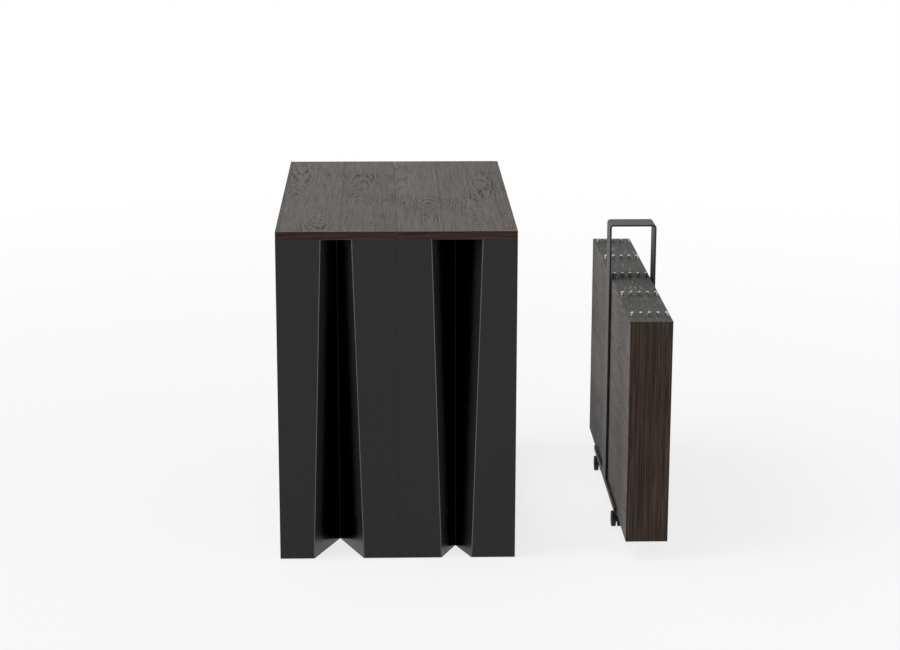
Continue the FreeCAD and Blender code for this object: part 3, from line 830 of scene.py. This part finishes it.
@dataclass
class Form:
    """A mesh under construction: points as one array, and faces as arrays of point numbers."""

    points: np.ndarray
    quads: np.ndarray
    triangles: np.ndarray

    @classmethod
    def lathe(cls, profile: np.ndarray, sides: int, hexagons: int = 0) -> "Form":
        """Turn a profile about the Z axis into a closed form.

        The point in ring i at angle a is (r cos a, r sin a, h), with the profile's radius r and
        height h; in a hexagon r grows by its bulge at a.

        Args:
            profile: Radius and height of each ring, from a pole below to a pole above.
            sides: Points in a ring.
            hexagons: How many of the last rings below the upper pole are hexagons, not circles.

        Returns:
            The form.
        """
        angle = np.linspace(0.0, 2.0 * math.pi, sides, endpoint=False)
        sixth = math.pi / 3.0
        bulge = 1.0 / np.cos((angle + sixth / 2.0) % sixth - sixth / 2.0) - 1.0
        rounds = len(profile) - 2 - hexagons
        hexagon = np.arange(rounds + hexagons)[:, None] >= rounds
        radius = profile[1:-1, :1] * (1.0 + hexagon * bulge)
        height = np.broadcast_to(profile[1:-1, 1:], radius.shape)
        rings = np.stack([radius * np.cos(angle), radius * np.sin(angle), height], axis=-1)
        poles = np.array([[0.0, 0.0, profile[0, 1]], [0.0, 0.0, profile[-1, 1]]])

        step = np.arange(sides)
        after = (step + 1) % sides
        top = (len(rings) - 1) * sides
        base = np.arange(0, top, sides)[:, None]
        pole = np.full(sides, top + sides)
        walls = np.stack([base + step, base + after, base + sides + after, base + sides + step], axis=-1)
        low = np.stack([after, step, pole], axis=-1)
        high = np.stack([top + step, top + after, pole + 1], axis=-1)
        points = np.concatenate([rings.reshape(-1, 3), poles])
        return cls(points, walls.reshape(-1, 4), np.concatenate([low, high]))

    def repeated(self, spots: np.ndarray, ups: list[Vector]) -> "Form":
        """Stand copies of the form at many spots.

        Every point p goes to s + R p, where R turns Z to the copy's own direction and s is its spot.

        Args:
            spots: One row of three for each copy.
            ups: Where the Z of each copy points.

        Returns:
            One form that holds all the copies.
        """
        turns = np.array([Axis.Z.towards(1).rotation_difference(up).to_matrix() for up in ups])
        points = (spots[:, None] + self.points @ turns.transpose(0, 2, 1)).reshape(-1, 3)
        shift = np.arange(len(spots))[:, None, None] * len(self.points)
        return Form(points, (self.quads + shift).reshape(-1, 4), (self.triangles + shift).reshape(-1, 3))

    def piece(self, name: str, body: str, slot: Slot, wardrobe: Wardrobe) -> None:
        """Make the form an object that rides on a body.

        Args:
            name: The piece's name.
            body: The body that carries it.
            slot: The record's slot that it takes its finish from.
            wardrobe: The finishes.
        """
        faces = self.quads.tolist() + self.triangles.tolist()
        mesh = bpy.data.meshes.new(name)
        mesh.from_pydata(self.points.tolist(), [], faces)
        mesh.materials.append(wardrobe.of[slot])
        mesh.shade_smooth()
        mesh.set_sharp_from_angle(angle=SHARP_EDGE)
        mesh.update()
        thing = placed(name, mesh)
        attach(thing, body)
        LOG.info("made %s on %s with %d faces", name, body, len(faces))


def domed(radius: float, height: float, end: float, rings: int) -> np.ndarray:
    """Rings of a dome: radius times cos a, at height times sin a, for angles a from zero to the end."""
    angle = np.linspace(0.0, end, rings)
    return np.stack([radius * np.cos(angle), height * np.sin(angle)], axis=-1)


@dataclass
class ScrewHead:
    """A button head with a hexagon recess."""

    radius: float = 0.0042
    height: float = 0.0024
    rim: float = 0.0006
    dome: float = math.radians(66.0)
    dome_rings: int = 5
    socket: float = 0.0017
    socket_taper: float = 0.94
    socket_depth: float = 0.0013
    sides: int = 24

    def form(self) -> Form:
        """A rim on the seat, a dome over it up to the flat crown, and a hexagon sunk in the crown."""
        rise = self.height - self.rim
        dome = domed(self.radius, rise, self.dome, self.dome_rings) + (0.0, self.rim)
        crown = dome[-1, 1]
        floor = crown - self.socket_depth
        seat = [(0.0, 0.0), (self.radius, 0.0)]
        recess = [(self.socket, crown), (self.socket * self.socket_taper, floor), (0.0, floor)]
        profile = np.concatenate([seat, dome, recess])
        return Form.lathe(profile, self.sides, hexagons=len(recess) - 1)


@dataclass
class PinTip:
    """The rounded end of a locating pin."""

    radius: float
    height: float = 0.0014
    rings: int = 6
    sides: int = 20

    def form(self) -> Form:
        """A low dome on the pin's flat end."""
        dome = domed(self.radius, self.height, math.pi / 2.0, self.rings)
        return Form.lathe(np.concatenate([[(0.0, 0.0)], dome]), self.sides)

    @classmethod
    def row(cls, node: str, count: int, axis: Axis, sign: int) -> Form:
        """Round the ends of a row of pins, spread evenly along Y from end to end of their box.

        Args:
            node: The node that holds the pins.
            count: Pins in the row.
            axis: Axis that the pins lie along.
            sign: Which way their ends point, one or minus one.

        Returns:
            The form.
        """
        low, high = (np.array(corner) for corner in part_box(node))
        side = Axis.X if axis is Axis.Z else Axis.Z
        radius = (high - low)[side.value] / 2
        spots = np.tile((low + high) / 2, (count, 1))
        spots[:, axis.value] = edge(node, axis, sign)
        spots[:, Axis.Y.value] = np.linspace(
            low[Axis.Y.value] + radius, high[Axis.Y.value] - radius, count
        )
        return cls(radius).form().repeated(spots, [axis.towards(sign)] * count)


@dataclass
class HubCap:
    """A low cap with a rounded rim about a dished face.

    Radii and heights are those of its rings as shares of its own, from the wheel to the pole.
    """

    radius: float = 0.0085
    height: float = 0.0012
    sides: int = 28
    radii: tuple[float, ...] = (0.0, 1.0, 1.0, 0.94, 0.86, 0.74, 0.66, 0.30, 0.22, 0.0)
    heights: tuple[float, ...] = (0.0, 0.0, 0.5, 0.9, 1.0, 0.9, 2 / 3, 2 / 3, 1.0, 1.0)

    def form(self) -> Form:
        """The outline in metres, turned about the wheel's axis."""
        profile = np.stack([self.radii, self.heights], axis=-1) * (self.radius, self.height)
        return Form.lathe(profile, self.sides)


@dataclass
class ConsoleHalf:
    """One half of the table: board, pleated leg, brackets, glides and its part of the runner."""

    hand: Hand
    wardrobe: Wardrobe
    seed: float
    band_tint: Colour = (0.87, 0.78, 0.81)
    sheet: float = 0.002
    bracket_thickness: float = 0.003
    bracket_inset: float = 0.040
    bracket_corner: float = 0.046
    screw_setback: float = 0.021
    screw_pitch: float = 0.034

    def named(self, piece: str) -> str:
        """The name of a piece of this half."""
        return f"{self.hand.name.lower()}_{piece}"

    def dress(self) -> None:
        """Give the half's solids their finishes."""
        top = self.named("top")
        place = BoardPlace(top, Axis.X, Axis.Z, self.hand.value, self.seed, self.band_tint)
        self.wardrobe.dress(top, self.wardrobe.oak.paint(f"{top}_oak", place))
        faces = {
            "front_panel": (Axis.Y, -1),
            "side_panel": (Axis.X, self.hand.value),
            "rear_panel": (Axis.Y, 1),
        }
        for panel, (facing, sign) in faces.items():
            node = self.named(panel)
            coat = self.wardrobe.sheet.paint(f"{node}_coat", SheetPlace(node, facing, sign))
            self.wardrobe.dress(node, coat)
        self.wardrobe.give(Slot.BRACKET, self.named("brackets"))
        self.wardrobe.give(Slot.GLIDE, self.named("glides"))
        self.wardrobe.give(Slot.RAIL, self.named("end_rails"))

    def stations(self) -> tuple[np.ndarray, np.ndarray]:
        """Find the screw line of each bracket: two on the front and rear panel, two on the side panel.

        Returns:
            The middles of the lines on the floor plan, and the unit directions along the brackets.
        """
        top = self.named("top")
        hand = self.hand.value
        front = edge(top, Axis.Y, -1) + self.sheet + self.screw_setback
        flank = edge(top, Axis.X, hand) - hand * (self.sheet + self.screw_setback)
        corner = edge(top, Axis.Y, -1) + self.bracket_corner
        inset = hand * self.bracket_inset
        middles = [(inset, front), (inset, -front), (flank, corner), (flank, -corner)]
        along = [Axis.X, Axis.X, Axis.Y, Axis.Y]
        return np.pad(middles, ((0, 0), (0, 1))), np.array([axis.towards(1) for axis in along])

    def screws(self) -> None:
        """Screw heads under the board's brackets, two to a line, and over the glides."""
        under = edge(self.named("top"), Axis.Z, -1) - self.bracket_thickness
        over = edge(self.named("glides"), Axis.Z, 1) + self.bracket_thickness
        middles, along = self.stations()
        offsets = np.array([[-0.5], [0.5]]) * self.screw_pitch
        upper = (middles[:, None] + along[:, None] * offsets).reshape(-1, 3) + (0.0, 0.0, under)
        lower = middles + (0.0, 0.0, over)
        ups = [Axis.Z.towards(-1)] * len(upper) + [Axis.Z.towards(1)] * len(lower)
        form = ScrewHead().form().repeated(np.concatenate([upper, lower]), ups)
        form.piece(self.named("screw_heads"), self.named("half"), Slot.ZINC, self.wardrobe)


@dataclass
class SeamJoint:
    """What holds the closed seam: pins in the right board, and the two swinging hooks."""

    wardrobe: Wardrobe
    pins: int = 5

    def dress(self) -> None:
        """Give the pins, hooks, pivots and keepers their finishes."""
        self.wardrobe.give(Slot.PIN, "seam_pins")
        self.wardrobe.give(Slot.ZINC, "front_latch", "rear_latch", "latch_pivots", "latch_keepers")

    def tips(self) -> None:
        """Rounded ends on the seam pins."""
        form = PinTip.row("seam_pins", self.pins, Axis.X, -1)
        form.piece("seam_pin_tips", "right_half", Slot.PIN, self.wardrobe)


@dataclass
class Runner:
    """The telescopic runner: stages of two rails and a cross tie."""

    wardrobe: Wardrobe
    stages: int = 6

    def dress(self) -> None:
        """Give every stage its finishes."""
        for stage in range(1, self.stages + 1):
            self.wardrobe.give(Slot.RAIL, f"runner_stage_{stage}")
            self.wardrobe.give(Slot.TIE, f"runner_tie_{stage}")


@dataclass
class LeafStack:
    """The loose leaves with their pins."""

    wardrobe: Wardrobe
    leaves: int = 5
    pins: int = 5
    seed_from: float = 0.31
    seed_step: float = 0.47

    def dress(self) -> None:
        """Give every leaf its own run of the board's grain."""
        for number in range(1, self.leaves + 1):
            node = f"leaf_{number}"
            seed = self.seed_from + self.seed_step * number
            place = BoardPlace(node, Axis.Z, Axis.X, 0, seed)
            self.wardrobe.dress(node, self.wardrobe.oak.paint(f"{node}_oak", place))
            self.wardrobe.give(Slot.PIN, f"{node}_pins")

    def tips(self) -> None:
        """Rounded ends on the pins of each leaf."""
        for number in range(1, self.leaves + 1):
            leaf = f"leaf_{number}"
            form = PinTip.row(f"{leaf}_pins", self.pins, Axis.Z, 1)
            form.piece(f"{leaf}_pin_tips", leaf, Slot.PIN, self.wardrobe)


@dataclass
class Carrier:
    """The trolley: tray, band and four twin wheel casters."""

    wardrobe: Wardrobe

    def dress(self) -> None:
        """Give the tray, band and casters their finishes."""
        self.wardrobe.give(Slot.CARRIER, "carrier_tray", "carrier_band")
        self.wardrobe.give(Slot.ZINC, "caster_stems")
        for corner in Corner:
            self.wardrobe.give(Slot.HOUSING, f"{corner.value}_caster_housing")
            self.wardrobe.give(Slot.ZINC, f"{corner.value}_caster_axle")
            self.wardrobe.give(Slot.TREAD, f"{corner.value}_caster_wheels")

    def hub_caps(self) -> None:
        """A cap on the outer face of each wheel."""
        cap = HubCap().form()
        for corner in Corner:
            low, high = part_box(f"{corner.value}_caster_wheels")
            middle = (low + high) / 2
            spots = np.array([(x, middle.y, middle.z) for x in (low.x, high.x)])
            form = cap.repeated(spots, [Axis.X.towards(-1), Axis.X.towards(1)])
            body = f"{corner.value}_wheels"
            form.piece(f"{corner.value}_hub_caps", body, Slot.HOUSING, self.wardrobe)


@dataclass(frozen=True)
class Lamp:
    """A wide soft light so far off that it falls alike on every pose of the object.

    Source is the direction towards it, and spread its width in degrees.
    """

    name: str
    source: Place
    strength: float
    spread: float


@dataclass(frozen=True)
class Card:
    """A white card that throws light back along one direction, out of the camera's sight."""

    name: str
    place: Place
    towards: Place
    power: float
    size: Span


@dataclass
class Studio:
    """White sweep, soft light and the camera of the photograph; its angles are in degrees."""

    camera_place: Place = (-0.0268, -5.2087, 1.7589)
    yaw: float = -1.756
    pitch: float = 14.193
    roll: float = 0.123
    lens: float = 87.51
    sensor: float = 36.0
    sight: float = 200.0
    floor_half: float = 60.0
    floor_white: Colour = (0.72, 0.72, 0.72)
    near_glow: float = 0.78
    far_glow: float = 1.0
    glow_reach: Span = (1.0, 4.5)
    sky: float = 0.45
    lamps: tuple[Lamp, ...] = (
        Lamp("overhead", (-0.25, 0.15, 1.0), strength=0.5, spread=65.0),
        Lamp("high_left", (-0.75, -0.15, 0.80), strength=1.5, spread=40.0),
        Lamp("left_strip", (-0.97, -0.22, 0.08), strength=1.0, spread=28.0),
        Lamp("right_strip", (0.95, -0.29, 0.08), strength=0.9, spread=25.0),
    )
    card: Card = Card("white_card", (0.30, 0.0, 0.56), (1.0, 0.0, 0.0), power=2.1, size=(0.9, 0.6))

    def floor(self) -> None:
        """A wide pale floor that goes to white with distance and keeps the soft shadow."""
        paint = Paint("studio_floor")
        x, y, _ = paint.axes
        away = ((x * x + y * y) ** 0.5).rise(*self.glow_reach)
        share = paint.seen() * (self.near_glow + away * (self.far_glow - self.near_glow))
        matt = paint.node("ShaderNodeBsdfDiffuse", sockets={"Color": self.floor_white})
        glow = paint.node("ShaderNodeEmission", sockets={"Color": WHITE})
        blend = paint.node(
            "ShaderNodeMixShader", sockets={0: share, 1: matt.outputs[0], 2: glow.outputs[0]}
        )
        paint.close("ShaderNodeOutputMaterial", blend.outputs[0])
        reach = self.floor_half
        mesh = bpy.data.meshes.new("studio_floor")
        corners = [(-reach, -reach, 0.0), (reach, -reach, 0.0), (reach, reach, 0.0), (-reach, reach, 0.0)]
        mesh.from_pydata(corners, [], [(0, 1, 2, 3)])
        mesh.materials.append(paint.material)
        placed("studio_floor", mesh)

    def world(self) -> None:
        """A white room: full white to the eye and in reflections, softer as light."""
        world = bpy.data.worlds.new("studio_sky")
        bpy.context.scene.world = world
        graph = Graph(world)
        strength = self.sky + graph.seen() * (1.0 - self.sky)
        backdrop = graph.node("ShaderNodeBackground", sockets={"Color": WHITE, "Strength": strength})
        graph.close("ShaderNodeOutputWorld", backdrop.outputs[0])

    def light(self, lamp: Lamp) -> None:
        """Hang one soft light, with its back to its source."""
        data = bpy.data.lights.new(lamp.name, "SUN")
        data.energy = lamp.strength
        data.angle = math.radians(lamp.spread)
        thing = placed(lamp.name, data)
        thing.rotation_euler = Vector(lamp.source).to_track_quat("Z", "Y").to_euler()

    def reflector(self) -> None:
        """Stand the card beside the console, so that it lights the leaves that the console shades."""
        data = bpy.data.lights.new(self.card.name, "AREA")
        data.shape = "RECTANGLE"
        data.energy = self.card.power
        data.size, data.size_y = self.card.size
        thing = placed(self.card.name, data)
        thing.location = self.card.place
        thing.rotation_euler = Vector(self.card.towards).to_track_quat("-Z", "Z").to_euler()
        thing.visible_camera = False

    def camera(self) -> None:
        """The photograph's eye: rolled a little, tipped down from level by its pitch, turned by its yaw."""
        data = bpy.data.cameras.new("eye")
        data.lens = self.lens
        data.sensor_width = self.sensor
        data.clip_end = self.sight
        thing = placed("eye", data)
        thing.location = self.camera_place
        tip = Euler((LEVEL - math.radians(self.pitch), 0.0, math.radians(self.yaw))).to_matrix()
        thing.rotation_euler = (tip @ Matrix.Rotation(math.radians(self.roll), 3, "Z")).to_euler()
        bpy.context.scene.camera = thing

    def build(self) -> None:
        """Set the stage, the light and the camera."""
        self.floor()
        self.world()
        for lamp in self.lamps:
            self.light(lamp)
        self.reflector()
        self.camera()
        bpy.context.scene.view_settings.view_transform = "Standard"


def main() -> None:
    """Dress the solids, add the small pieces and set the studio."""
    wardrobe = Wardrobe()
    right = ConsoleHalf(Hand.RIGHT, wardrobe, seed=0.030)
    left = ConsoleHalf(Hand.LEFT, wardrobe, seed=0.128)
    for half in (right, left):
        half.dress()
        half.screws()
    seam = SeamJoint(wardrobe)
    seam.dress()
    seam.tips()
    Runner(wardrobe).dress()
    leaves = LeafStack(wardrobe)
    leaves.dress()
    leaves.tips()
    carrier = Carrier(wardrobe)
    carrier.dress()
    carrier.hub_caps()
    Studio().build()


if __name__ == "__main__":
    logging.basicConfig(level=logging.INFO, format="%(message)s")
    main()
